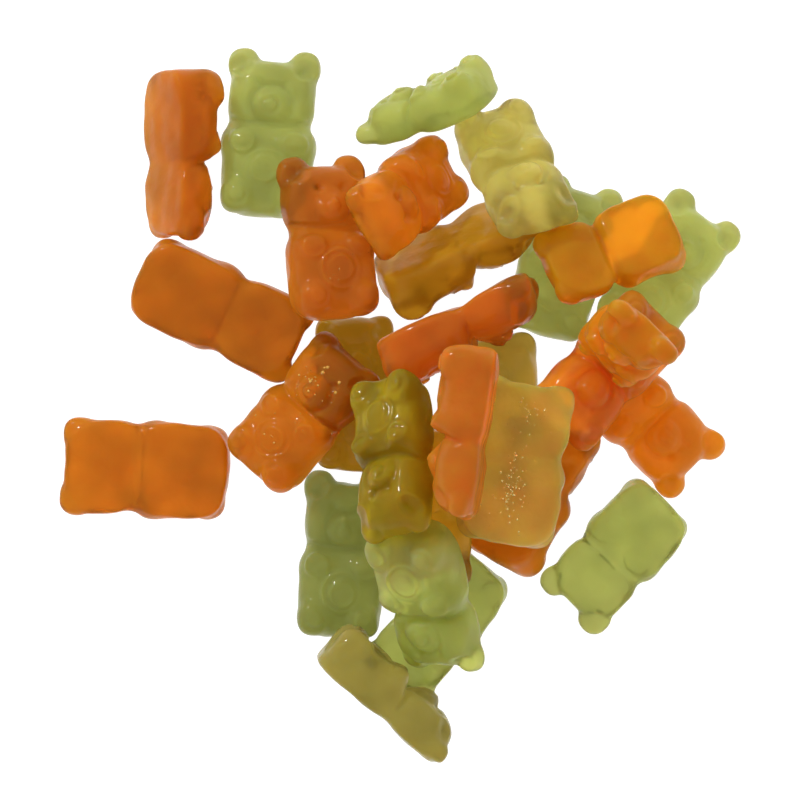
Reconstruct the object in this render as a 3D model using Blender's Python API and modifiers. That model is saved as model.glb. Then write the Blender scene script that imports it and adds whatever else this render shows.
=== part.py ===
"""A loose heap of gummy bears, lying as it was tipped out on a table.

The shapes are worked out in millimetres and written in metres. +Z is up, the table is z = 0 and the origin is on
it, under the middle of the heap. Every bear is one soft moulded solid with a flat back. The heap is stacked from
the table up, each bear turned the way it lies, and then all of it sinks together until the bears lean on one
another and on the table.
"""

import math

import bmesh
import bpy
import numpy as np
from mathutils import Euler, Matrix, Vector
from mathutils.bvhtree import BVHTree

MM = 0.001

# One bear, in millimetres. Its own axes: x across, y from the feet to the ears, z from the flat back to the front.
LENGTH = 21.0
WIDTH = 11.5
DEPTH = 7.2

MASTER_VOXEL = 0.36
MELT_STEPS = 13
ROUND_STEPS = 5
GROOVE_PLACE = 0.9
GROOVE_HALF = 1.1
GROOVE_DEPTH = 0.5
SOLID_TRIANGLES = 338

# The clear space left between any two bears.
GAP = 0.36

# Stacking: the squares that heights are kept on, and the table's side.
CELL = 0.6
TABLE_SIDE = 140.0

# Sinking: how far each bear falls in a step, how firmly it is held to its place and its turn, and how firmly
# two bears that touch push each other off.
FALLS = ((240, 0.28), (160, 0.12), (300, 0.06))
REST_STEPS = 110
HOLD_PLACE = 0.25
HOLD_HEADING = 0.4
HOLD_TILT = 0.02
HOLD_WEDGED_TILT = 0.2
PUSH_OFF = 0.45
FIELD_CELL = 0.6
FIELD_LOW = np.array([-9.0, -13.2, -7.8])
FIELD_HIGH = np.array([9.0, 13.2, 7.8])
FAR = 9.0

COLOURS = {
    "orange": (0.86, 0.32, 0.05),
    "red_orange": (0.78, 0.22, 0.06),
    "green": (0.56, 0.66, 0.24),
    "yellow": (0.74, 0.62, 0.20),
    "amber": (0.62, 0.42, 0.12),
}
ROUGHNESS = 0.38

FACE_UP = 0.0
FACE_DOWN = 180.0

# Two moulds: in one the ears stand clear of the head, in the other they are almost flush with its corners.
EARED = "eared"
SQUARE = "square"

# Each bear in the order it is stacked: its name, its flavour, where its middle lies on the table, the way its
# head points (anticlockwise from +X), its turn about its own length (0 has its front up, 90 has its front to
# the right of its head), how far its head is raised, its length and breadth, with 1 for the usual bear, its sag
# along its length, and its mould. Angles in degrees.
BEARS = (
    ("bear_top_left_green", "green", -16.1, 33.4, 84, FACE_UP, 0, 1.02, 1.02, 0, EARED),
    ("bear_left_orange", "orange", -21.5, 11.1, -25, FACE_DOWN + 12, 0, 1.06, 0.94, 6, SQUARE),
    ("bear_far_left_orange", "orange", -31.0, -8.7, 176, FACE_DOWN, 0, 0.99, 1.10, 3, SQUARE),
    ("bear_low_right_green", "green", 27.7, -19.3, 225, FACE_DOWN, 0, 0.90, 1.04, 0, EARED),
    ("bear_low_left_green", "green", -6.6, -18.9, 91, FACE_UP, 0, 1.00, 0.96, 0, EARED),
    ("bear_bottom_green", "green", 5.2, -27.3, 232, FACE_DOWN, 0, 0.94, 0.98, 0, EARED),
    ("bear_right_under_green", "green", 20.7, 17.3, 75, FACE_UP, 0, 0.97, 1.00, 0, EARED),
    ("bear_right_green", "green", 33.2, 15.2, 51, FACE_UP, 0, 0.95, 1.00, 0, EARED),
    ("bear_middle_under_green", "green", 12.6, -1.4, 92, FACE_UP, 0, 0.97, 1.00, 0, SQUARE),
    ("bear_low_orange", "orange", 16.2, -11.3, 62, FACE_DOWN, 0, 0.97, 1.02, 0, SQUARE),
    ("bear_middle_amber", "amber", -4.8, -0.2, 90, FACE_UP, 0, 0.94, 0.98, 0, SQUARE),
    ("bear_upper_amber", "amber", 7.5, 17.4, 24, FACE_DOWN - 40, 0, 1.00, 1.00, 0, SQUARE),
    ("bear_bottom_yellow", "yellow", -1.3, -35.9, -42, -90, 0, 0.96, 1.00, 0, SQUARE),
    ("bear_low_middle_amber", "amber", 4.8, -12.9, -90, FACE_UP, 0, 0.98, 1.04, 0, EARED),
    ("bear_bottom_top_green", "green", 4.3, -23.8, -89, FACE_UP, 0, 1.00, 0.98, 0, EARED),
    ("bear_right_orange", "orange", 31.9, -2.0, -53, FACE_UP, 0, 0.97, 0.96, 0, EARED),
    ("bear_right_red", "red_orange", 25.4, 3.6, 230, FACE_UP, 0, 0.93, 1.00, 0, SQUARE),
    ("bear_top_left_orange", "orange", -25.5, 30.3, -88, FACE_DOWN + 14, 0, 1.01, 0.92, 0, SQUARE),
    ("bear_top_orange", "red_orange", -6.6, 20.3, 100, 10, 0, 0.98, 1.00, 0, EARED),
    ("bear_top_yellow", "yellow", 13.0, 28.7, -49, -56, 0, 0.94, 1.00, 0, SQUARE),
    ("bear_top_middle_orange", "orange", 1.8, 24.7, 213, FACE_UP, 6, 0.87, 1.06, 0, SQUARE),
    ("bear_right_top_orange", "orange", 26.6, 17.2, 201, FACE_DOWN, 0, 0.86, 1.06, -18, SQUARE),
    ("bear_middle_red", "red_orange", 7.7, 8.1, 23, 90, 0, 1.00, 1.00, 0, SQUARE),
    ("bear_left_top_orange", "orange", -11.3, -1.8, 50, FACE_UP, 0, 0.93, 1.02, 0, SQUARE),
    ("bear_middle_green", "yellow", 1.2, -6.8, -90, 35, 0, 0.96, 0.86, 0, SQUARE),
    ("bear_low_right_yellow", "yellow", 14.0, -7.9, 78, FACE_DOWN, 0, 0.96, 1.12, 0, SQUARE),
    ("bear_middle_orange", "red_orange", 7.9, -4.2, 257, 89, 0, 0.98, 1.00, 0, SQUARE),
    ("bear_top_green", "green", 4.9, 36.1, 196, 84, -34, 0.84, 1.00, 22, EARED),
    ("bear_upright_orange", "orange", 27.4, 6.4, 48, FACE_UP, 84, 0.87, 1.00, 0, EARED),
)

# Bears that their neighbours wedge on edge or on end, so they keep their turn more firmly than the others do.
WEDGED = (
    "bear_bottom_yellow",
    "bear_middle_red",
    "bear_middle_orange",
    "bear_top_green",
    "bear_top_orange",
    "bear_upright_orange",
)

# The lumps of one bear: centre, radii and squareness. Those in PAIR_LUMPS and EARS stand on both sides.
MIDDLE_LUMPS = (
    ((0.0, 4.2, 1.4), (5.6, 4.7, 4.4), 3.0),      # head
    ((0.0, 0.7, 2.0), (5.2, 3.0, 3.4), 2.6),      # neck
    ((0.0, 3.1, 4.6), (2.8, 2.2, 2.3), 2.0),      # muzzle
    ((0.0, -4.7, 2.0), (5.7, 5.8, 4.2), 3.6),     # trunk
    ((0.0, -4.7, 4.4), (3.7, 3.6, 2.4), 2.0),     # belly
)
PAIR_LUMPS = (
    ((4.2, -1.8, 2.8), (1.8, 2.3, 2.9), 2.2),     # shoulder
    ((2.9, -1.4, 5.0), (2.2, 1.4, 1.9), 2.0),     # paw
    ((3.3, -8.0, 4.1), (2.4, 2.4, 3.1), 2.4),     # foot
)
EARS = {
    EARED: ((3.9, 8.2, 1.5), (2.2, 2.3, 1.9), 2.2),
    SQUARE: ((3.8, 7.3, 1.5), (2.0, 2.1, 1.9), 2.6),
}


def empty_scene():
    for old in list(bpy.data.objects):
        bpy.data.objects.remove(old, do_unlink=True)


def linked(name, mesh):
    obj = bpy.data.objects.new(name, mesh)
    bpy.context.scene.collection.objects.link(obj)
    return obj


def evaluated_mesh(obj, name):
    """A mesh of the object with its modifiers applied, and the object removed."""
    graph = bpy.context.evaluated_depsgraph_get()
    mesh = bpy.data.meshes.new_from_object(obj.evaluated_get(graph), depsgraph=graph)
    mesh.name = name
    bpy.data.objects.remove(obj, do_unlink=True)
    return mesh


def points_of(mesh):
    points = np.empty(len(mesh.vertices) * 3)
    mesh.vertices.foreach_get("co", points)
    return points.reshape(-1, 3)


def write_points(mesh, points):
    mesh.vertices.foreach_set("co", np.ascontiguousarray(points, np.float32).ravel())
    mesh.update()


def add_lump(shape, centre, radii, squareness):
    """A ball of the given radii, squarer the further its squareness is over 2."""
    made = bmesh.ops.create_uvsphere(shape, u_segments=32, v_segments=20, radius=1.0)
    for vertex in made["verts"]:
        unit = vertex.co
        reach = sum(abs(part) ** squareness for part in unit) ** (1.0 / squareness)
        vertex.co = [middle + radius * part / reach for middle, radius, part in zip(centre, radii, unit)]


def master_mesh(mould):
    """One bear in millimetres: the lumps run together, melted a little and laid on a flat back."""
    shape = bmesh.new()
    for lump in MIDDLE_LUMPS:
        add_lump(shape, *lump)
    for (x, y, z), radii, squareness in (*PAIR_LUMPS, EARS[mould]):
        add_lump(shape, (x, y, z), radii, squareness)
        add_lump(shape, (-x, y, z), radii, squareness)
    lumps = bpy.data.meshes.new("lumps")
    shape.to_mesh(lumps)
    shape.free()
    obj = linked("lumps", lumps)
    join = obj.modifiers.new("join", "REMESH")
    join.mode = "VOXEL"
    join.voxel_size = MASTER_VOXEL
    melt = obj.modifiers.new("melt", "SMOOTH")
    melt.factor = 0.5
    melt.iterations = MELT_STEPS
    mesh = evaluated_mesh(obj, "bear_cut")
    points = points_of(mesh)
    groove = GROOVE_DEPTH * np.exp(-(((points[:, 1] - GROOVE_PLACE) / GROOVE_HALF) ** 2))
    points[:, 2] = np.maximum(points[:, 2], groove)
    write_points(mesh, points)
    obj = linked("cut", mesh)
    melt = obj.modifiers.new("round", "SMOOTH")
    melt.factor = 0.5
    melt.iterations = ROUND_STEPS
    mesh = evaluated_mesh(obj, "bear_master")
    points = points_of(mesh)
    low, high = points.min(0), points.max(0)
    points = (points - (low + high) / 2) * (np.array([WIDTH, LENGTH, DEPTH]) / (high - low))
    write_points(mesh, points)
    return mesh


def solid_mesh(master):
    """The master with few enough faces for a faceted solid, its back still flat."""
    obj = linked("solid", master)
    thin = obj.modifiers.new("thin", "DECIMATE")
    thin.ratio = SOLID_TRIANGLES / (2 * len(master.polygons))
    thin.use_collapse_triangulate = True
    mesh = evaluated_mesh(obj, "bear_solid")
    points = points_of(mesh)
    back = -DEPTH / 2
    points[points[:, 2] < back + 0.15, 2] = back
    write_points(mesh, points)
    return mesh


def shaped(points, breadth, sag):
    """The points of a bear made broader and curled by sag degrees, its ends towards its front if sag is positive."""
    points = points * [breadth, 1.0, 1.0]
    if sag == 0:
        return points
    radius = LENGTH / math.radians(sag)
    angle = points[:, 1] / radius
    arm = radius - points[:, 2]
    return np.stack([points[:, 0], arm * np.sin(angle), radius - arm * np.cos(angle)], axis=1)


def attitude(heading, turn, raised):
    """The rotation of a bear, from its own axes to the table's."""
    return np.array(
        Matrix.Rotation(math.radians(heading - 90), 3, "Z")
        @ Matrix.Rotation(math.radians(raised), 3, "X")
        @ Matrix.Rotation(math.radians(turn), 3, "Y")
    )


def rotation(vector):
    """The rotation about a vector by as many radians as it is long."""
    angle = np.linalg.norm(vector)
    if angle < 1e-9:
        return np.eye(3)
    return np.array(Matrix.Rotation(angle, 3, Vector(vector)))


def turn_between(now, wanted):
    """The rotation vector that takes one attitude a small way towards another."""
    change = wanted @ now.T
    axis = np.array([change[2, 1] - change[1, 2], change[0, 2] - change[2, 0], change[1, 0] - change[0, 1]])
    return axis / 2


class Kind:
    """The shape of one kind of bear: points all over its surface, and how far any point near it is outside it."""

    def __init__(self, solid, breadth, sag):
        self.corners = shaped(points_of(solid), breadth, sag)
        solid.calc_loop_triangles()
        faces = np.array([triangle.vertices for triangle in solid.loop_triangles])
        tree = BVHTree.FromPolygons(self.corners.tolist(), faces.tolist())
        triangles = self.corners[faces]
        middles = triangles.mean(axis=1)
        edges = (triangles + np.roll(triangles, 1, axis=1)) / 2
        self.skin = np.unique(np.round(np.vstack([self.corners, middles, edges.reshape(-1, 3)]), 4), axis=0)
        axes = [np.arange(low, high, FIELD_CELL) for low, high in zip(FIELD_LOW, FIELD_HIGH)]
        grid = np.stack(np.meshgrid(*axes, indexing="ij"), axis=-1)
        self.field = np.full(grid.shape[:3], FAR)
        for index in np.ndindex(self.field.shape):
            point = Vector(grid[index])
            nearest, normal, _, distance = tree.find_nearest(point)
            self.field[index] = math.copysign(distance, (point - nearest).dot(normal))
        self.slope = np.stack(np.gradient(self.field, FIELD_CELL), axis=-1)


class Heap:
    """All the bears together, each with a place, an attitude and the ones it wants to keep."""

    def __init__(self, kinds):
        self.kinds = [kinds[row[8:]] for row in BEARS]
        self.sizes = np.array([row[7] for row in BEARS])
        self.wanted = np.array([attitude(row[4], row[5], row[6]) for row in BEARS])
        tilt_holds = [HOLD_WEDGED_TILT if row[0] in WEDGED else HOLD_TILT for row in BEARS]
        self.hold = [np.array([hold, hold, HOLD_HEADING]) for hold in tilt_holds]
        self.turns = self.wanted.copy()
        self.places = np.zeros((len(BEARS), 3))
        most = max(len(kind.skin) for kind in self.kinds)
        self.skins = np.array([np.resize(kind.skin, (most, 3)) * size
                               for kind, size in zip(self.kinds, self.sizes)])
        self.fields = np.array([kind.field for kind in self.kinds])
        self.slopes = np.array([kind.slope for kind in self.kinds])
        spans = np.array([WIDTH, LENGTH, DEPTH]) ** 2
        self.ease = 12.0 / (spans.sum() - spans)
        self.stack()
        self.homes = self.places[:, :2].copy()

    def stack(self):
        """Each bear on top of those before it, on a map of heights."""
        side = int(TABLE_SIDE / CELL)
        heights = np.zeros(side * side)
        for number, row in enumerate(BEARS):
            lying = self.skins[number] @ self.turns[number].T
            middle = (lying.min(0) + lying.max(0)) / 2
            shift = np.array([row[2] - middle[0], row[3] - middle[1], 0.0])
            index = ((lying[:, :2] + shift[:2] + TABLE_SIDE / 2) / CELL).astype(int)
            near = [index[:, 0] * side + index[:, 1] + dx * side + dy for dx in (-1, 0, 1) for dy in (-1, 0, 1)]
            shift[2] = max(np.max(heights[squares] - lying[:, 2]) for squares in near)
            self.places[number] = shift
            for squares in near:
                np.maximum.at(heights, squares, lying[:, 2] + shift[2] + GAP)

    def world(self):
        return np.einsum("bij,bkj->bki", self.turns, self.skins) + self.places[:, None]

    def contacts(self):
        """Where bears are closer than the gap: which two, the middle of the touch, its direction and depth."""
        world = self.world()
        apart = np.linalg.norm(self.places[:, None] - self.places[None], axis=2)
        first, second = np.nonzero((apart < LENGTH * 1.25) & (apart > 0))
        offset = world[first] - self.places[second][:, None]
        local = np.einsum("pji,pkj->pki", self.turns[second], offset) / self.sizes[second][:, None, None]
        cell = (local - FIELD_LOW) / FIELD_CELL
        last = np.array(self.fields.shape[1:]) - 2
        pair, point = np.nonzero(np.all((cell >= 0) & (cell <= last), axis=2))
        cell = cell[pair, point]
        corner = cell.astype(int)
        part = cell - corner
        owner = second[pair]
        value = np.zeros(len(pair))
        for dx in (0, 1):
            for dy in (0, 1):
                for dz in (0, 1):
                    share = np.abs(1 - dx - part[:, 0]) * np.abs(1 - dy - part[:, 1]) * np.abs(1 - dz - part[:, 2])
                    value += share * self.fields[owner, corner[:, 0] + dx, corner[:, 1] + dy, corner[:, 2] + dz]
        depth = GAP - value * self.sizes[owner]
        touch = depth > 0
        pair, point, owner, corner, depth = pair[touch], point[touch], owner[touch], corner[touch], depth[touch]
        slope = self.slopes[owner, corner[:, 0], corner[:, 1], corner[:, 2]]
        normal = np.einsum("kij,kj->ki", self.turns[owner], slope)
        count = len(first)
        weight = np.bincount(pair, depth, count)
        where = self.weighted(world[first[pair], point], depth, pair, count)
        along = self.weighted(normal, depth, pair, count)
        deepest = np.zeros(count)
        np.maximum.at(deepest, pair, depth)
        some = weight > 0
        along = along[some]
        along /= np.linalg.norm(along, axis=1)[:, None] + 1e-9
        middle = where[some] / weight[some][:, None]
        return first[some], second[some], middle, along, deepest[some]

    @staticmethod
    def weighted(values, weights, groups, count):
        sums = [np.bincount(groups, weights * values[:, axis], count) for axis in range(3)]
        return np.stack(sums, axis=1).astype(float)

    def push(self, who, middle, along, depth, other=None):
        """Move and turn the bears so that each touch opens, in proportion to how easily each one moves."""
        def ease(bears):
            arm = middle - self.places[bears]
            twist = np.cross(arm, along)
            inner = np.einsum("kji,kj->ki", self.turns[bears], twist) * self.ease
            return 1 + np.sum(inner * np.einsum("kji,kj->ki", self.turns[bears], twist), axis=1), \
                np.einsum("kij,kj->ki", self.turns[bears], inner)
        mine, my_turn = ease(who)
        total, theirs_turn = mine, None
        if other is not None:
            theirs, theirs_turn = ease(other)
            total = mine + theirs
        amount = (PUSH_OFF * depth / total)[:, None]
        np.add.at(self.shift, who, amount * along)
        np.add.at(self.spin, who, amount * my_turn)
        if other is not None:
            np.add.at(self.shift, other, -amount * along)
            np.add.at(self.spin, other, -amount * theirs_turn)

    def hold_on(self):
        """Bring each bear a little way back to its own place and attitude."""
        self.places[:, :2] += HOLD_PLACE * (self.homes - self.places[:, :2])
        for number, hold in enumerate(self.hold):
            back = rotation(hold * turn_between(self.turns[number], self.wanted[number]))
            self.turns[number] = back @ self.turns[number]

    def part_ways(self):
        """Open every touch a little, and return how deep the deepest one was."""
        self.shift = np.zeros_like(self.places)
        self.spin = np.zeros_like(self.places)
        first, second, middle, along, depth = self.contacts()
        self.push(first, middle, along, depth, second)
        world = self.world()
        sunk = np.maximum(-world[:, :, 2], 0.0)
        low = np.nonzero(sunk.max(axis=1) > 0)[0]
        if len(low):
            weight = sunk[low]
            middle = np.einsum("bk,bki->bi", weight, world[low]) / weight.sum(axis=1)[:, None]
            upward = np.tile([0.0, 0.0, 1.0], (len(low), 1))
            self.push(low, middle, upward, sunk[low].max(axis=1) / PUSH_OFF)
        self.places += self.shift
        for number in range(len(BEARS)):
            self.turns[number] = rotation(self.spin[number]) @ self.turns[number]
        return depth.max() if len(depth) else 0.0

    def sink(self):
        for steps, fall in FALLS:
            for _ in range(steps):
                self.places[:, 2] -= fall
                self.hold_on()
                self.part_ways()
        for _ in range(REST_STEPS):
            deepest = self.part_ways()
        print("at rest: deepest touch", round(deepest, 3), "top", round(self.world()[:, :, 2].max(), 2))


def material(name, colour):
    made = bpy.data.materials.new(name)
    made.use_nodes = True
    shader = made.node_tree.nodes["Principled BSDF"]
    shader.inputs["Base Color"].default_value = (*colour, 1.0)
    shader.inputs["Roughness"].default_value = ROUGHNESS
    shader.inputs["Metallic"].default_value = 0.0
    return made


def build_heap():
    collection = bpy.data.collections.new("gummy_bears")
    bpy.context.scene.collection.children.link(collection)
    materials = {flavour: material(flavour, colour) for flavour, colour in COLOURS.items()}
    solids = {mould: solid_mesh(master_mesh(mould)) for mould in EARS}
    kinds = {row[8:]: Kind(solids[row[10]], row[8], row[9]) for row in BEARS}
    heap = Heap(kinds)
    heap.sink()
    bears = [kind.corners * size @ turn.T + place
             for kind, size, turn, place in zip(heap.kinds, heap.sizes, heap.turns, heap.places)]
    low, high = np.vstack(bears).min(0), np.vstack(bears).max(0)
    origin = np.array([(low[0] + high[0]) / 2, (low[1] + high[1]) / 2, low[2]])
    print("bears", len(bears), "size in mm", np.round(high - low, 1))
    for row, points in zip(BEARS, bears):
        mesh = solids[row[10]].copy()
        mesh.name = row[0]
        write_points(mesh, (points - origin) * MM)
        mesh.materials.append(materials[row[1]])
        mesh.shade_smooth()
        bear = bpy.data.objects.new(row[0], mesh)
        collection.objects.link(bear)


def main():
    empty_scene()
    build_heap()


main()
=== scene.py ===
"""The heap of gummy bears, dressed: every solid of the frame is replaced by a finely moulded jelly bear."""

import itertools
import math

import bmesh
import bpy
import numpy as np
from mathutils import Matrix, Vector
from mathutils.bvhtree import BVHTree

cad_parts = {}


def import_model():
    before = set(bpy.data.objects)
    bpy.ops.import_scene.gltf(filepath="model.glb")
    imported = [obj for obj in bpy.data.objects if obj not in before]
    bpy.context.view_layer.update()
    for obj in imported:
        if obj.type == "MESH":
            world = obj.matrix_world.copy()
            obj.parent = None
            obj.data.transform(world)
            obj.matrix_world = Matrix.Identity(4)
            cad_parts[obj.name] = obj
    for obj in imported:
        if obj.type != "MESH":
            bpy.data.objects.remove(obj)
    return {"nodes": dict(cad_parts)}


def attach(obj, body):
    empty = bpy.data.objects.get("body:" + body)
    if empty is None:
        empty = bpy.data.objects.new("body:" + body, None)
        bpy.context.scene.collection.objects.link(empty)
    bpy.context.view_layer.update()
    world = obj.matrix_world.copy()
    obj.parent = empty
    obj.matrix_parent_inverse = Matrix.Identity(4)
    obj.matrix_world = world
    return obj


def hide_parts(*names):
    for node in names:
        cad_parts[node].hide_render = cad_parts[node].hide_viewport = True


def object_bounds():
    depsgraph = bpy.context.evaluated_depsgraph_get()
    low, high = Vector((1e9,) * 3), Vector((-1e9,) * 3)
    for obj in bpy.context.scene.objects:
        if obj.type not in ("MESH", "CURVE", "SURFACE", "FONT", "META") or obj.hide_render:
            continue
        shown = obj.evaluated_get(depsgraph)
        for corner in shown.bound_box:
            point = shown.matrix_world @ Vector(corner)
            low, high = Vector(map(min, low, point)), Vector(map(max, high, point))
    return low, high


MM = 0.001             # the frame is in metres

# One bear, in millimetres: x across, y from the feet to the ears, z from the flat back to the front.
LENGTH = 21.0
WIDTH = 11.5
DEPTH = 7.2
NECK = 0.9             # where the neck lies on y
BACK_ROUND = 1.8       # how softly the back is flattened
GROOVE_HALF = 1.4      # the shallow groove across the back, at the neck
GROOVE_DEPTH = 0.5
SHRINK = 0.99          # keeps the jelly clear of its neighbours and inside the solids' box

# How fine the mesh is, and how often it is smoothed: to melt the lumps together, then to round the flattened back.
VOXEL = 0.27
MELT_STEPS = 16
ROUND_STEPS = 17
FIT_STEPS = 12         # rounds of bringing a bear on to its solid

# Two moulds: in one the ears stand clear of the head, in the other they are almost flush with its corners.
EARED = "eared"
SQUARE = "square"

# Centre, radii and squareness of each lump. Those in PAIR_LUMPS and EARS stand on both sides.
MIDDLE_LUMPS = (
    ((0.0, 4.2, 1.4), (5.6, 4.7, 4.4), 3.0),      # head
    ((0.0, 0.7, 2.0), (5.2, 3.0, 3.4), 2.6),      # neck
    ((0.0, 3.1, 4.6), (2.8, 2.2, 2.3), 2.0),      # muzzle
    ((0.0, -4.7, 2.0), (5.7, 5.8, 4.2), 3.6),     # trunk
    ((0.0, -4.7, 4.4), (3.7, 3.6, 2.4), 2.0),     # belly
)
PAIR_LUMPS = (
    ((4.2, -1.8, 2.8), (1.8, 2.3, 2.9), 2.2),     # shoulder
    ((2.9, -1.4, 5.0), (2.2, 1.4, 1.9), 2.0),     # paw
    ((3.3, -8.0, 4.1), (2.4, 2.4, 3.1), 2.4),     # foot
)
EARS = {
    EARED: ((3.9, 8.2, 1.5), (2.2, 2.3, 1.9), 2.2),
    SQUARE: ((3.8, 7.3, 1.5), (2.0, 2.1, 1.9), 2.6),
}

# Small relief on the front: where, its radius, its height (a dent is negative), and for a ring the ring's radius.
MIDDLE_RELIEF = (
    ((0.0, 4.3), 0.70, 0.40, 0.0),     # nose
    ((0.0, 3.2), 0.28, -0.26, 1.0),    # mouth
    ((0.0, 3.4), 0.34, -0.36, 2.6),    # edge of the muzzle
    ((0.0, -4.6), 0.28, 0.32, 2.5),    # ring on the belly
    ((0.0, -4.6), 0.26, 0.22, 1.5),    # inner ring on the belly
)
PAIR_RELIEF = (
    ((1.50, 6.0), 0.55, -0.50, 0.0),   # eye
    ((3.9, 8.1), 0.90, -0.55, 0.0),    # inside of the ear
    ((3.9, 8.1), 0.28, 0.20, 1.5),     # rim of the ear
    ((3.1, -1.4), 0.28, 0.30, 1.25),   # edge of the paw
    ((3.2, -8.0), 0.30, -0.34, 1.3),   # pad of the foot
)
RELIEF_GAIN = 1.1      # what all those heights are multiplied by
STRAY = 0.12           # how far a mark strays from its place
LEAST_WEAR = 0.5       # how much of a mark's height is left, at least and at most
MOST_WEAR = 1.25
FADE = 0.38            # half of what a ring loses from its clearest side to its most worn one

# The line under the chin, which bends a little round the head.
CHIN = 0.9
CHIN_HALF = 0.38
CHIN_DEPTH = 0.50
CHIN_BEND = 0.02

# A deeper crease at the neck of some bears, and how far it draws in the sides.
CREASE_HALF = 0.75
WAIST_HALF = 1.1
WAIST = 0.12

# Unevenness of the skin: length, height and number of the waves.
WAVES = ((9.0, 0.30, 6), (2.6, 0.16, 12))

# The noises of the jelly, by how many swells they have in a metre: its cloudiness, the satin of its skin and the grain
# of its skin. A bubble has one of its own.
CLOUD_SCALE = 210
SATIN_SCALE = 420
GRAIN_SCALE = 900
BUBBLE_SCALE = 2500
NOISE_SPAN = (0.3, 0.7)     # where nearly all of a noise's values lie
CLOUD = 0.16                # how much darker or lighter than its tint the jelly gets

# Flavours: the slot, the tint of the skin, the colour of the light that comes through the body, and how strongly each
# millimetre filters it.
FLAVOURS = {
    "orange": ("orange", (0.62, 0.24, 0.012), (0.86, 0.38, 0.03), 0.22),
    "light_orange": ("orange", (0.80, 0.37, 0.014), (0.92, 0.50, 0.03), 0.22),
    "red_orange": ("red_orange", (0.64, 0.23, 0.018), (0.86, 0.36, 0.06), 0.22),
    "green": ("green", (0.42, 0.44, 0.13), (0.76, 0.80, 0.36), 0.17),
    # A green bear's tint browned towards amber: painted shade, for a bear lying under others in the heap.
    "green_browned_by_painted_shade": ("green", (0.46, 0.34, 0.06), (0.80, 0.66, 0.20), 0.17),
    "yellow": ("yellow", (0.46, 0.40, 0.11), (0.80, 0.74, 0.32), 0.17),
    # A yellow bear's tint browned to olive: painted shade, for a bear lying among others in the heap.
    "yellow_browned_by_painted_shade": ("yellow", (0.46, 0.36, 0.016), (0.80, 0.66, 0.08), 0.18),
    "honey": ("yellow", (0.72, 0.58, 0.12), (0.90, 0.80, 0.28), 0.16),
    "amber": ("amber", (0.46, 0.25, 0.016), (0.80, 0.60, 0.12), 0.18),
}

# Each bear's flavour, how light its tint is (partly its own colour, partly painted light and shade), its size and its
# breadth against the mould's, its sag in degrees, its mould, and how deep its neck is creased.
BEARS = {
    "bear_top_left_green": ("green", 1.0, 1.02, 1.02, 0, EARED, 0.0),
    "bear_left_orange": ("orange", 0.9, 1.06, 0.94, 6, SQUARE, 0.0),
    "bear_far_left_orange": ("orange", 1.0, 0.99, 1.10, 3, SQUARE, 0.0),
    "bear_low_right_green": ("green", 1.2, 0.90, 1.04, 0, EARED, 0.1),
    "bear_low_left_green": ("green", 0.72, 1.00, 0.96, 0, EARED, 0.0),
    "bear_bottom_green": ("green", 1.1, 0.94, 0.98, 0, EARED, 0.0),
    "bear_right_under_green": ("green", 1.05, 0.97, 1.00, 0, EARED, 0.0),
    "bear_right_green": ("green", 1.2, 0.95, 1.00, 0, EARED, 0.0),
    "bear_middle_under_green": ("green_browned_by_painted_shade", 1.1, 0.97, 1.00, 0, SQUARE, 0.0),
    "bear_low_orange": ("orange", 1.0, 0.97, 1.02, 0, SQUARE, 0.0),
    "bear_middle_amber": ("amber", 0.9, 0.94, 0.98, 0, SQUARE, 0.0),
    "bear_upper_amber": ("amber", 1.25, 1.00, 1.00, 0, SQUARE, 0.0),
    "bear_bottom_yellow": ("yellow", 0.85, 0.96, 1.00, 0, SQUARE, 0.0),
    "bear_low_middle_amber": ("amber", 1.3, 0.98, 1.04, 0, EARED, 0.0),
    "bear_bottom_top_green": ("green", 1.5, 1.00, 0.98, 0, EARED, 0.0),
    "bear_right_orange": ("orange", 1.25, 0.97, 0.96, 0, EARED, 0.0),
    "bear_right_red": ("red_orange", 1.5, 0.93, 1.00, 0, SQUARE, 0.0),
    "bear_top_left_orange": ("orange", 1.0, 1.01, 0.92, 0, SQUARE, 0.0),
    "bear_top_orange": ("red_orange", 0.9, 0.98, 1.00, 0, EARED, 0.0),
    "bear_top_yellow": ("yellow", 1.4, 0.94, 1.00, 0, SQUARE, 0.0),
    "bear_top_middle_orange": ("orange", 1.15, 0.87, 1.06, 0, SQUARE, 0.0),
    "bear_right_top_orange": ("light_orange", 1.2, 0.86, 1.06, -18, SQUARE, 0.9),
    "bear_middle_red": ("red_orange", 1.0, 1.00, 1.00, 0, SQUARE, 0.0),
    "bear_left_top_orange": ("orange", 1.0, 0.93, 1.02, 0, SQUARE, 0.0),
    "bear_middle_green": ("yellow_browned_by_painted_shade", 1.05, 0.96, 0.86, 0, SQUARE, 0.0),
    "bear_low_right_yellow": ("honey", 1.2, 0.96, 1.12, 0, SQUARE, 0.1),
    "bear_middle_orange": ("red_orange", 1.5, 0.98, 1.00, 0, SQUARE, 0.0),
    "bear_top_green": ("green", 1.15, 0.84, 1.00, 22, EARED, 0.0),
    "bear_upright_orange": ("light_orange", 1.25, 0.87, 1.00, 0, EARED, 0.0),
}

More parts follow.
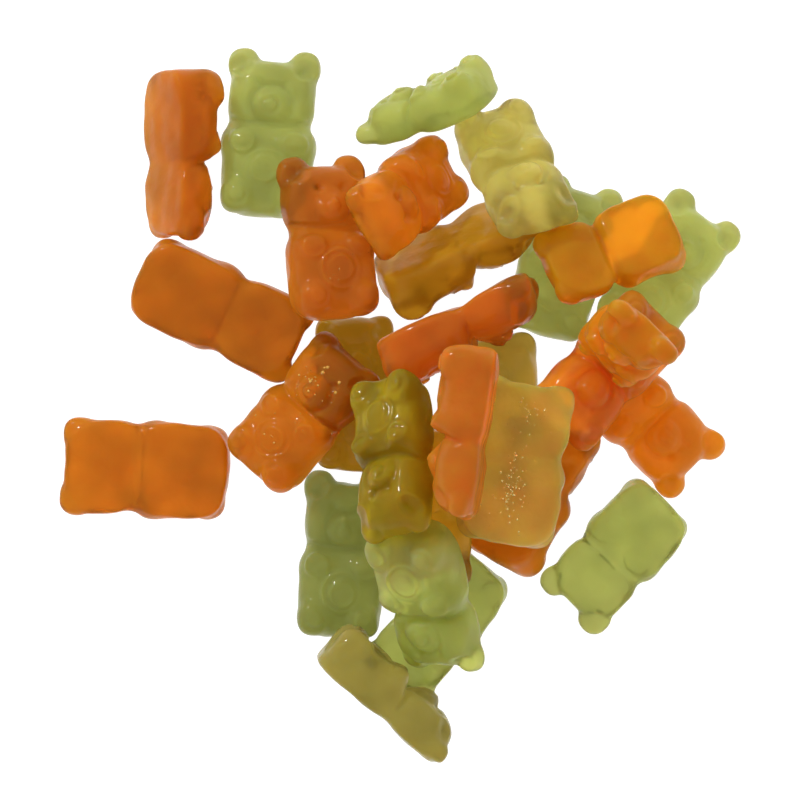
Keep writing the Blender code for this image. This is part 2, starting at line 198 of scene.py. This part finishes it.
# Bubbles of some bears, in patches: on the front (1) or the back (-1), centre on x and y, spread on x and y, count,
# smallest and largest radius.
BUBBLES = {
    "bear_low_right_yellow": (
        (-1, 0.2, -3.6, 1.0, 2.2, 110, 0.05, 0.15),
        (-1, -0.6, 5.6, 1.3, 1.2, 34, 0.05, 0.13),
    ),
    "bear_left_top_orange": (
        (1, 0.0, 4.0, 1.4, 1.6, 26, 0.08, 0.26),
        (1, 0.0, -3.5, 2.0, 2.5, 14, 0.06, 0.16),
    ),
    "bear_middle_red": ((1, 0.5, 0.0, 1.8, 5.5, 40, 0.05, 0.14),),
    "bear_top_orange": ((1, 0.0, -5.5, 1.5, 2.0, 12, 0.05, 0.12),),
}
BUBBLE_SINK = 0.45     # how far a bubble's centre lies under the skin, in its own radius
ABOVE = 12.0           # well clear of a bear, in front of it or behind it

# The picture, in metres: a white floor, one lamp, and a camera straight above.
FLOOR_HALF = 1.5
FLOOR_DROP = 0.0003
LAMP = (-0.32, 0.42, 0.34)
LAMP_SIZE = 0.06
LAMP_WATTS = 2.4
SKY = 0.85
CAMERA = (-0.00025, 0.0, 0.40)
SENSOR_MM = 36
ZOOM = 3.96            # the focal length over the sensor's width


def points_of(mesh):
    """The mesh's vertices, one to a row."""
    points = np.empty(len(mesh.vertices) * 3)
    mesh.vertices.foreach_get("co", points)
    return points.reshape(-1, 3)


def normals_of(mesh):
    """The direction out of the mesh at each vertex, one to a row."""
    normals = np.empty(len(mesh.vertices) * 3)
    mesh.vertices.foreach_get("normal", normals)
    return normals.reshape(-1, 3)


def write_points(mesh, points):
    """Move the mesh's vertices to the given points."""
    mesh.vertices.foreach_set("co", np.ascontiguousarray(points, np.float32).ravel())
    mesh.update()


def modified(mesh, kind, **settings):
    """The mesh with one modifier applied."""
    obj = bpy.data.objects.new("working", mesh)
    bpy.context.scene.collection.objects.link(obj)
    modifier = obj.modifiers.new("working", kind)
    for name, value in settings.items():
        setattr(modifier, name, value)
    graph = bpy.context.evaluated_depsgraph_get()
    made = bpy.data.meshes.new_from_object(obj.evaluated_get(graph), depsgraph=graph)
    bpy.data.objects.remove(obj, do_unlink=True)
    return made


def add_lump(shape, centre, radii, squareness):
    """A ball of the given radii, squarer the further its squareness is over 2."""
    made = bmesh.ops.create_uvsphere(shape, u_segments=48, v_segments=28, radius=1.0)
    for vertex in made["verts"]:
        unit = vertex.co
        reach = sum(abs(part) ** squareness for part in unit) ** (1.0 / squareness)
        vertex.co = [middle + radius * part / reach for middle, radius, part in zip(centre, radii, unit)]


def bump(away, radius):
    """A smooth hill of height 1, falling off with the distance away from its middle."""
    return np.exp(-((away / radius) ** 2))


def bear_mesh(mould):
    """One bear in millimetres, without its relief: the lumps melted together and laid on a flat, grooved back."""
    shape = bmesh.new()
    for lump in MIDDLE_LUMPS:
        add_lump(shape, *lump)
    for (x, y, z), radii, squareness in (*PAIR_LUMPS, EARS[mould]):
        add_lump(shape, (x, y, z), radii, squareness)
        add_lump(shape, (-x, y, z), radii, squareness)
    mesh = bpy.data.meshes.new("lumps")
    shape.to_mesh(mesh)
    shape.free()
    mesh = modified(mesh, "REMESH", mode="VOXEL", voxel_size=VOXEL)
    mesh = modified(mesh, "SMOOTH", factor=0.5, iterations=MELT_STEPS)

    # What is below the table comes up to it in a soft curve, and the groove lifts the lowest points.
    points = points_of(mesh)
    height = (points[:, 2] + np.hypot(points[:, 2], BACK_ROUND)) / 2
    points[:, 2] = height + GROOVE_DEPTH * bump(points[:, 1] - NECK, GROOVE_HALF) * np.exp(-height)
    write_points(mesh, points)
    mesh = modified(mesh, "SMOOTH", factor=0.5, iterations=ROUND_STEPS)

    # Centred, at the mould's size.
    points = points_of(mesh)
    low, high = points.min(0), points.max(0)
    points = (points - (low + high) / 2) * (np.array([WIDTH, LENGTH, DEPTH]) / (high - low))
    write_points(mesh, points)
    return mesh


def relief(points, normals, chance):
    """How far each point of the front stands out or in: face, ears, paws, belly and feet, worn unevenly."""
    marks = list(MIDDLE_RELIEF)
    for (x, y), radius, height, ring in PAIR_RELIEF:
        marks += [((x, y), radius, height, ring), ((-x, y), radius, height, ring)]
    out = np.zeros(len(points))
    for (x, y), radius, height, ring in marks:
        x, y = x + chance.normal(0, STRAY), y + chance.normal(0, STRAY)
        across, along = points[:, 0] - x, points[:, 1] - y
        wear = chance.uniform(LEAST_WEAR, MOST_WEAR)
        if ring:
            bearing = np.arctan2(along, across) - chance.uniform(-math.pi, math.pi)
            wear = wear * (1 - FADE + FADE * np.cos(bearing))
        out += height * wear * bump(np.hypot(across, along) - ring, radius)
    out -= CHIN_DEPTH * bump(points[:, 1] - CHIN - CHIN_BEND * points[:, 0] ** 2, CHIN_HALF)
    facing_front = np.clip((normals[:, 2] + 0.1) / 0.5, 0, 1)
    return RELIEF_GAIN * out * facing_front


def waves(points, chance, length, height, count):
    """How far each point stands out or in where waves of about one length cross in all directions."""
    out = np.zeros(len(points))
    for _ in range(count):
        direction = chance.normal(size=3)
        direction *= 2 * math.pi / (np.linalg.norm(direction) * length * chance.uniform(0.8, 1.6))
        out += np.sin(points @ direction + chance.uniform(0, 2 * math.pi))
    return height * out / count


def shaped(points, breadth, sag):
    """The points of a bear made broader and curled by sag degrees, its ends towards its front if sag is positive."""
    points = points * [breadth, 1.0, 1.0]
    if sag == 0:
        return points
    radius = LENGTH / math.radians(sag)
    angle = points[:, 1] / radius
    arm = radius - points[:, 2]
    return np.stack([points[:, 0], arm * np.sin(angle), radius - arm * np.cos(angle)], axis=1)


def creased(points, depth):
    """The points with the neck drawn in at the back and the sides."""
    points = points.copy()
    towards_back = np.clip(0.3 - points[:, 2] / DEPTH, 0, 1)
    points[:, 2] += depth * bump(points[:, 1] - NECK, CREASE_HALF) * towards_back
    points[:, 0] *= 1 - WAIST * depth * bump(points[:, 1] - NECK, WAIST_HALF)
    return points


def spread(points, faces):
    """The middle of a surface, and its principal directions as columns, longest first."""
    corners = points[faces]
    areas = np.linalg.norm(np.cross(corners[:, 1] - corners[:, 0], corners[:, 2] - corners[:, 0]), axis=1)
    middles = corners.mean(axis=1)
    middle = np.average(middles, axis=0, weights=areas)
    _, directions = np.linalg.eigh(np.cov((middles - middle).T, aweights=areas))
    return middle, directions[:, ::-1]


def triangles_of(mesh):
    """The three vertices of each triangle of the mesh, one triangle to a row."""
    mesh.calc_loop_triangles()
    faces = np.empty(len(mesh.loop_triangles) * 3, int)
    mesh.loop_triangles.foreach_get("vertices", faces)
    return faces.reshape(-1, 3)


def nearest(tree, points):
    """The nearest place on a surface for each point."""
    return np.array([tree.find_nearest(Vector(point))[0] for point in points])


def best_turn(source, target):
    """The rotation and shift that bring the source points on to the target points."""
    source_middle, target_middle = source.mean(0), target.mean(0)
    left, _, right = np.linalg.svd((source - source_middle).T @ (target - target_middle))
    flip = np.diag([1, 1, np.sign(np.linalg.det(left @ right))])
    turn = (left @ flip @ right).T
    return turn, target_middle - turn @ source_middle


def lay(points, faces, solid_points, solid_faces):
    """The rotation and shift that lay a bear where the frame's solid lies, and how far they are apart on average."""
    middle, directions = spread(points, faces)
    solid_middle, solid_directions = spread(solid_points, solid_faces)
    tree = BVHTree.FromPolygons(points.tolist(), faces.tolist())

    # Each principal direction can point either way. Of the four turns that this leaves, the nearest is taken.
    best = None
    for signs in itertools.product((1, -1), repeat=3):
        turn = solid_directions @ np.diag(signs) @ directions.T
        if np.linalg.det(turn) < 0:
            continue
        local = (solid_points - solid_middle) @ turn + middle
        miss = np.linalg.norm(nearest(tree, local) - local, axis=1).mean()
        if best is None or miss < best[0]:
            best = (miss, turn)
    turn = best[1]
    shift = solid_middle - turn @ middle

    # From there the bear is brought on to the solid step by step.
    for _ in range(FIT_STEPS):
        local = (solid_points - shift) @ turn
        turn, shift = best_turn(nearest(tree, local), solid_points)
    local = (solid_points - shift) @ turn
    return turn, shift, np.linalg.norm(nearest(tree, local) - local, axis=1).mean()


def put(mesh, replaced):
    """Hang a piece on the frame, in the place of a solid if one is named."""
    piece = bpy.data.objects.new(mesh.name, mesh)
    bpy.context.scene.collection.objects.link(piece)
    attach(piece, "root")
    if replaced:
        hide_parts(replaced)


def bubbles(name, points, faces, turn, shift, patches, chance):
    """Bubbles caught under the skin: balls just breaking the surface, in patches on the front (1) or the back (-1)."""
    tree = BVHTree.FromPolygons(points.tolist(), faces.tolist())
    shape = bmesh.new()
    for side, x, y, wide, tall, count, smallest, largest in patches:
        for _ in range(count):
            place = Vector((chance.normal(x, wide), chance.normal(y, tall), ABOVE * side))
            skin, _, _, _ = tree.ray_cast(place, Vector((0, 0, -side)))
            if skin is None:
                continue
            radius = smallest + (largest - smallest) * chance.random() ** 2
            skin.z -= BUBBLE_SINK * radius * side
            made = bmesh.ops.create_icosphere(shape, subdivisions=2, radius=radius)
            for vertex in made["verts"]:
                vertex.co = Vector(turn @ np.array(vertex.co + skin) + shift) * MM
    mesh = bpy.data.meshes.new(name)
    shape.to_mesh(mesh)
    shape.free()
    mesh.shade_smooth()
    return mesh


def new_material(name):
    """A material and its shader."""
    material = bpy.data.materials.new(name)
    material.use_nodes = True
    return material, material.node_tree.nodes["Principled BSDF"]


def set_inputs(material, node, inputs):
    """Give a node's inputs their values, or link them where the value is another node's output."""
    for name, value in inputs.items():
        if isinstance(value, bpy.types.NodeSocket):
            material.node_tree.links.new(value, node.inputs[name])
        else:
            node.inputs[name].default_value = value


def add_node(material, kind, inputs, **settings):
    """A new node with the given settings and inputs."""
    node = material.node_tree.nodes.new(kind)
    for name, value in settings.items():
        setattr(node, name, value)
    set_inputs(material, node, inputs)
    return node


def noise(material, scale, detail):
    """A noise all through the piece."""
    place = add_node(material, "ShaderNodeTexCoord", {})
    inputs = {"Vector": place.outputs["Object"], "Scale": scale, "Detail": detail}
    return add_node(material, "ShaderNodeTexNoise", inputs).outputs["Fac"]


def stretched(material, value, start, end, low, high):
    """A value's range from start to end brought to the range from low to high."""
    inputs = {"Value": value, "From Min": start, "From Max": end, "To Min": low, "To Max": high}
    return add_node(material, "ShaderNodeMapRange", inputs).outputs["Result"]


def rough_skin(material, height, strength, distance):
    """The normal of a skin that a noise makes a little uneven."""
    inputs = {"Height": height, "Strength": strength, "Distance": distance}
    return add_node(material, "ShaderNodeBump", inputs).outputs["Normal"]


def bubble_skin_with_painted_glint(name, tint):
    """A bubble's wall: shiny, and paler than the jelly round it, the paler tint being a painted glint of the light the
    bubbles catch.
    """
    material, shader = new_material(name)
    grain = noise(material, BUBBLE_SCALE, 2)
    set_inputs(material, shader, {
        # Paler than the jelly's tint: a painted glint.
        "Base Color": (*(min(part ** 0.6, 1) for part in tint), 1),
        "Roughness": stretched(material, grain, 0, 1, 0.10, 0.25),
        "IOR": 1.15,
        "Transmission Weight": 0.3,
        "Coat Weight": 0.8,
        "Coat Roughness": 0.05,
        "Normal": rough_skin(material, grain, 0.2, 0.00005),
    })
    return material


def jelly(name, tint, through, strength):
    """Soft see-through jelly: a satin skin over a cloudy body that filters the light that goes through it."""
    material, shader = new_material(name)
    cloud = add_node(material, "ShaderNodeMix", {
        "Factor": stretched(material, noise(material, CLOUD_SCALE, 1), *NOISE_SPAN, 0, 1),
        "A": (*((1 - CLOUD) * part for part in tint), 1),
        "B": (*(min((1 + CLOUD) * part, 1) for part in tint), 1),
    }, data_type="RGBA")
    set_inputs(material, shader, {
        "Base Color": cloud.outputs["Result"],
        "Roughness": stretched(material, noise(material, SATIN_SCALE, 1), *NOISE_SPAN, 0.30, 0.48),
        "IOR": 1.16,
        "Specular Tint": (*(0.2 + 0.8 * part for part in tint), 1),
        "Transmission Weight": 0.72,
        "Subsurface Weight": 1.0,
        "Subsurface Radius": (1.0, 0.6, 0.3),
        "Subsurface Scale": 0.004,
        "Coat Weight": 0.2,
        "Coat IOR": 1.4,
        "Coat Roughness": 0.08,
        "Normal": rough_skin(material, noise(material, GRAIN_SCALE, 1), 0.4, 0.0002),
    })
    filtering = add_node(material, "ShaderNodeVolumeAbsorption", {"Color": (*through, 1), "Density": strength / MM})
    set_inputs(material, material.node_tree.nodes["Material Output"], {"Volume": filtering.outputs["Volume"]})
    return material


def floor():
    """A floor that glows white, so that it stays white round the faint shadows."""
    mesh = bpy.data.meshes.new("floor")
    shape = bmesh.new()
    bmesh.ops.create_grid(shape, x_segments=1, y_segments=1, size=FLOOR_HALF)
    shape.to_mesh(mesh)
    shape.free()
    obj = bpy.data.objects.new("floor", mesh)
    obj.location.z = -FLOOR_DROP
    bpy.context.scene.collection.objects.link(obj)
    material, shader = new_material("floor")
    set_inputs(material, shader, {
        "Base Color": (0.2, 0.2, 0.2, 1),
        "Roughness": 0.9,
        "Specular IOR Level": 0.0,
        "Emission Color": (1, 1, 1, 1),
        "Emission Strength": 1.0,
    })
    material.cycles.emission_sampling = "NONE"
    mesh.materials.append(material)


def lamp():
    """A small lamp aimed at the heap, for its highlights and shadows."""
    light = bpy.data.lights.new("key", "AREA")
    light.shape = "DISK"
    light.size = LAMP_SIZE
    light.energy = LAMP_WATTS
    obj = bpy.data.objects.new("key", light)
    obj.location = LAMP
    obj.rotation_euler = (-Vector(LAMP)).to_track_quat("-Z", "Y").to_euler()
    bpy.context.scene.collection.objects.link(obj)


def sky():
    """White light from all round."""
    world = bpy.data.worlds.new("studio")
    world.use_nodes = True
    background = world.node_tree.nodes["Background"]
    background.inputs["Color"].default_value = (1, 1, 1, 1)
    background.inputs["Strength"].default_value = SKY
    bpy.context.scene.world = world


def camera():
    """The photo's view, from straight above."""
    lens = bpy.data.cameras.new("camera")
    lens.sensor_width = SENSOR_MM
    lens.lens = SENSOR_MM * ZOOM
    lens.clip_start = 0.01
    obj = bpy.data.objects.new("camera", lens)
    obj.location = CAMERA
    bpy.context.scene.collection.objects.link(obj)
    bpy.context.scene.camera = obj


def light_paths():
    """Enough bounces for light to cross several bears, and colours as they are."""
    scene = bpy.context.scene
    scene.view_settings.view_transform = "Standard"
    scene.cycles.max_bounces = 24
    scene.cycles.transmission_bounces = 24
    scene.cycles.diffuse_bounces = 4
    scene.cycles.glossy_bounces = 4


def dress(frame, box):
    """Put a jelly bear in the place of each solid, inside the solids' box, and bubbles into some."""
    low, high = (np.array(corner) / MM for corner in box)
    masters = {mould: bear_mesh(mould) for mould in EARS}
    for number, (name, (flavour, lightness_and_painted_shade, size, breadth, sag, mould, crease)) in enumerate(BEARS.items()):
        chance = np.random.default_rng(number)
        master = masters[mould]
        smooth, normals, faces = points_of(master), normals_of(master), triangles_of(master)
        solid = frame["nodes"][name].data
        plain = shaped(smooth, breadth, sag) * size
        turn, shift, miss = lay(plain, faces, points_of(solid) / MM, triangles_of(solid))
        print(name, "is off its solid by", round(miss, 3), "mm on average")

        out = relief(smooth, normals, chance)
        for length, height, count in WAVES:
            out += waves(smooth, chance, length, height, count)
        moulded = creased(smooth + normals * out[:, None], crease)
        moulded = shaped(moulded, breadth, sag) * (SHRINK * size)
        mesh = master.copy()
        mesh.name = name + "_jelly"
        write_points(mesh, np.clip(moulded @ turn.T + shift, low, high) * MM)

        slot, tint, through, strength = FLAVOURS[flavour]
        # The tint lightened or darkened: partly the bear's own colour, partly painted light and shade to match how lit
        # it looks in the heap.
        tint = [lightness_and_painted_shade * part for part in tint]
        mesh.materials.append(jelly(name, tint, through, strength))
        mesh.shade_smooth()
        put(mesh, name)
        if name in BUBBLES:
            inside = bubbles(name + "_bubbles", moulded, faces, turn, shift, BUBBLES[name], chance)
            inside.materials.append(bubble_skin_with_painted_glint(name + "_bubbles", tint))
            put(inside, None)


def main():
    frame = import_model()
    cad_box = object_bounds()
    sky()
    lamp()
    camera()
    light_paths()
    floor()
    dress(frame, cad_box)


main()
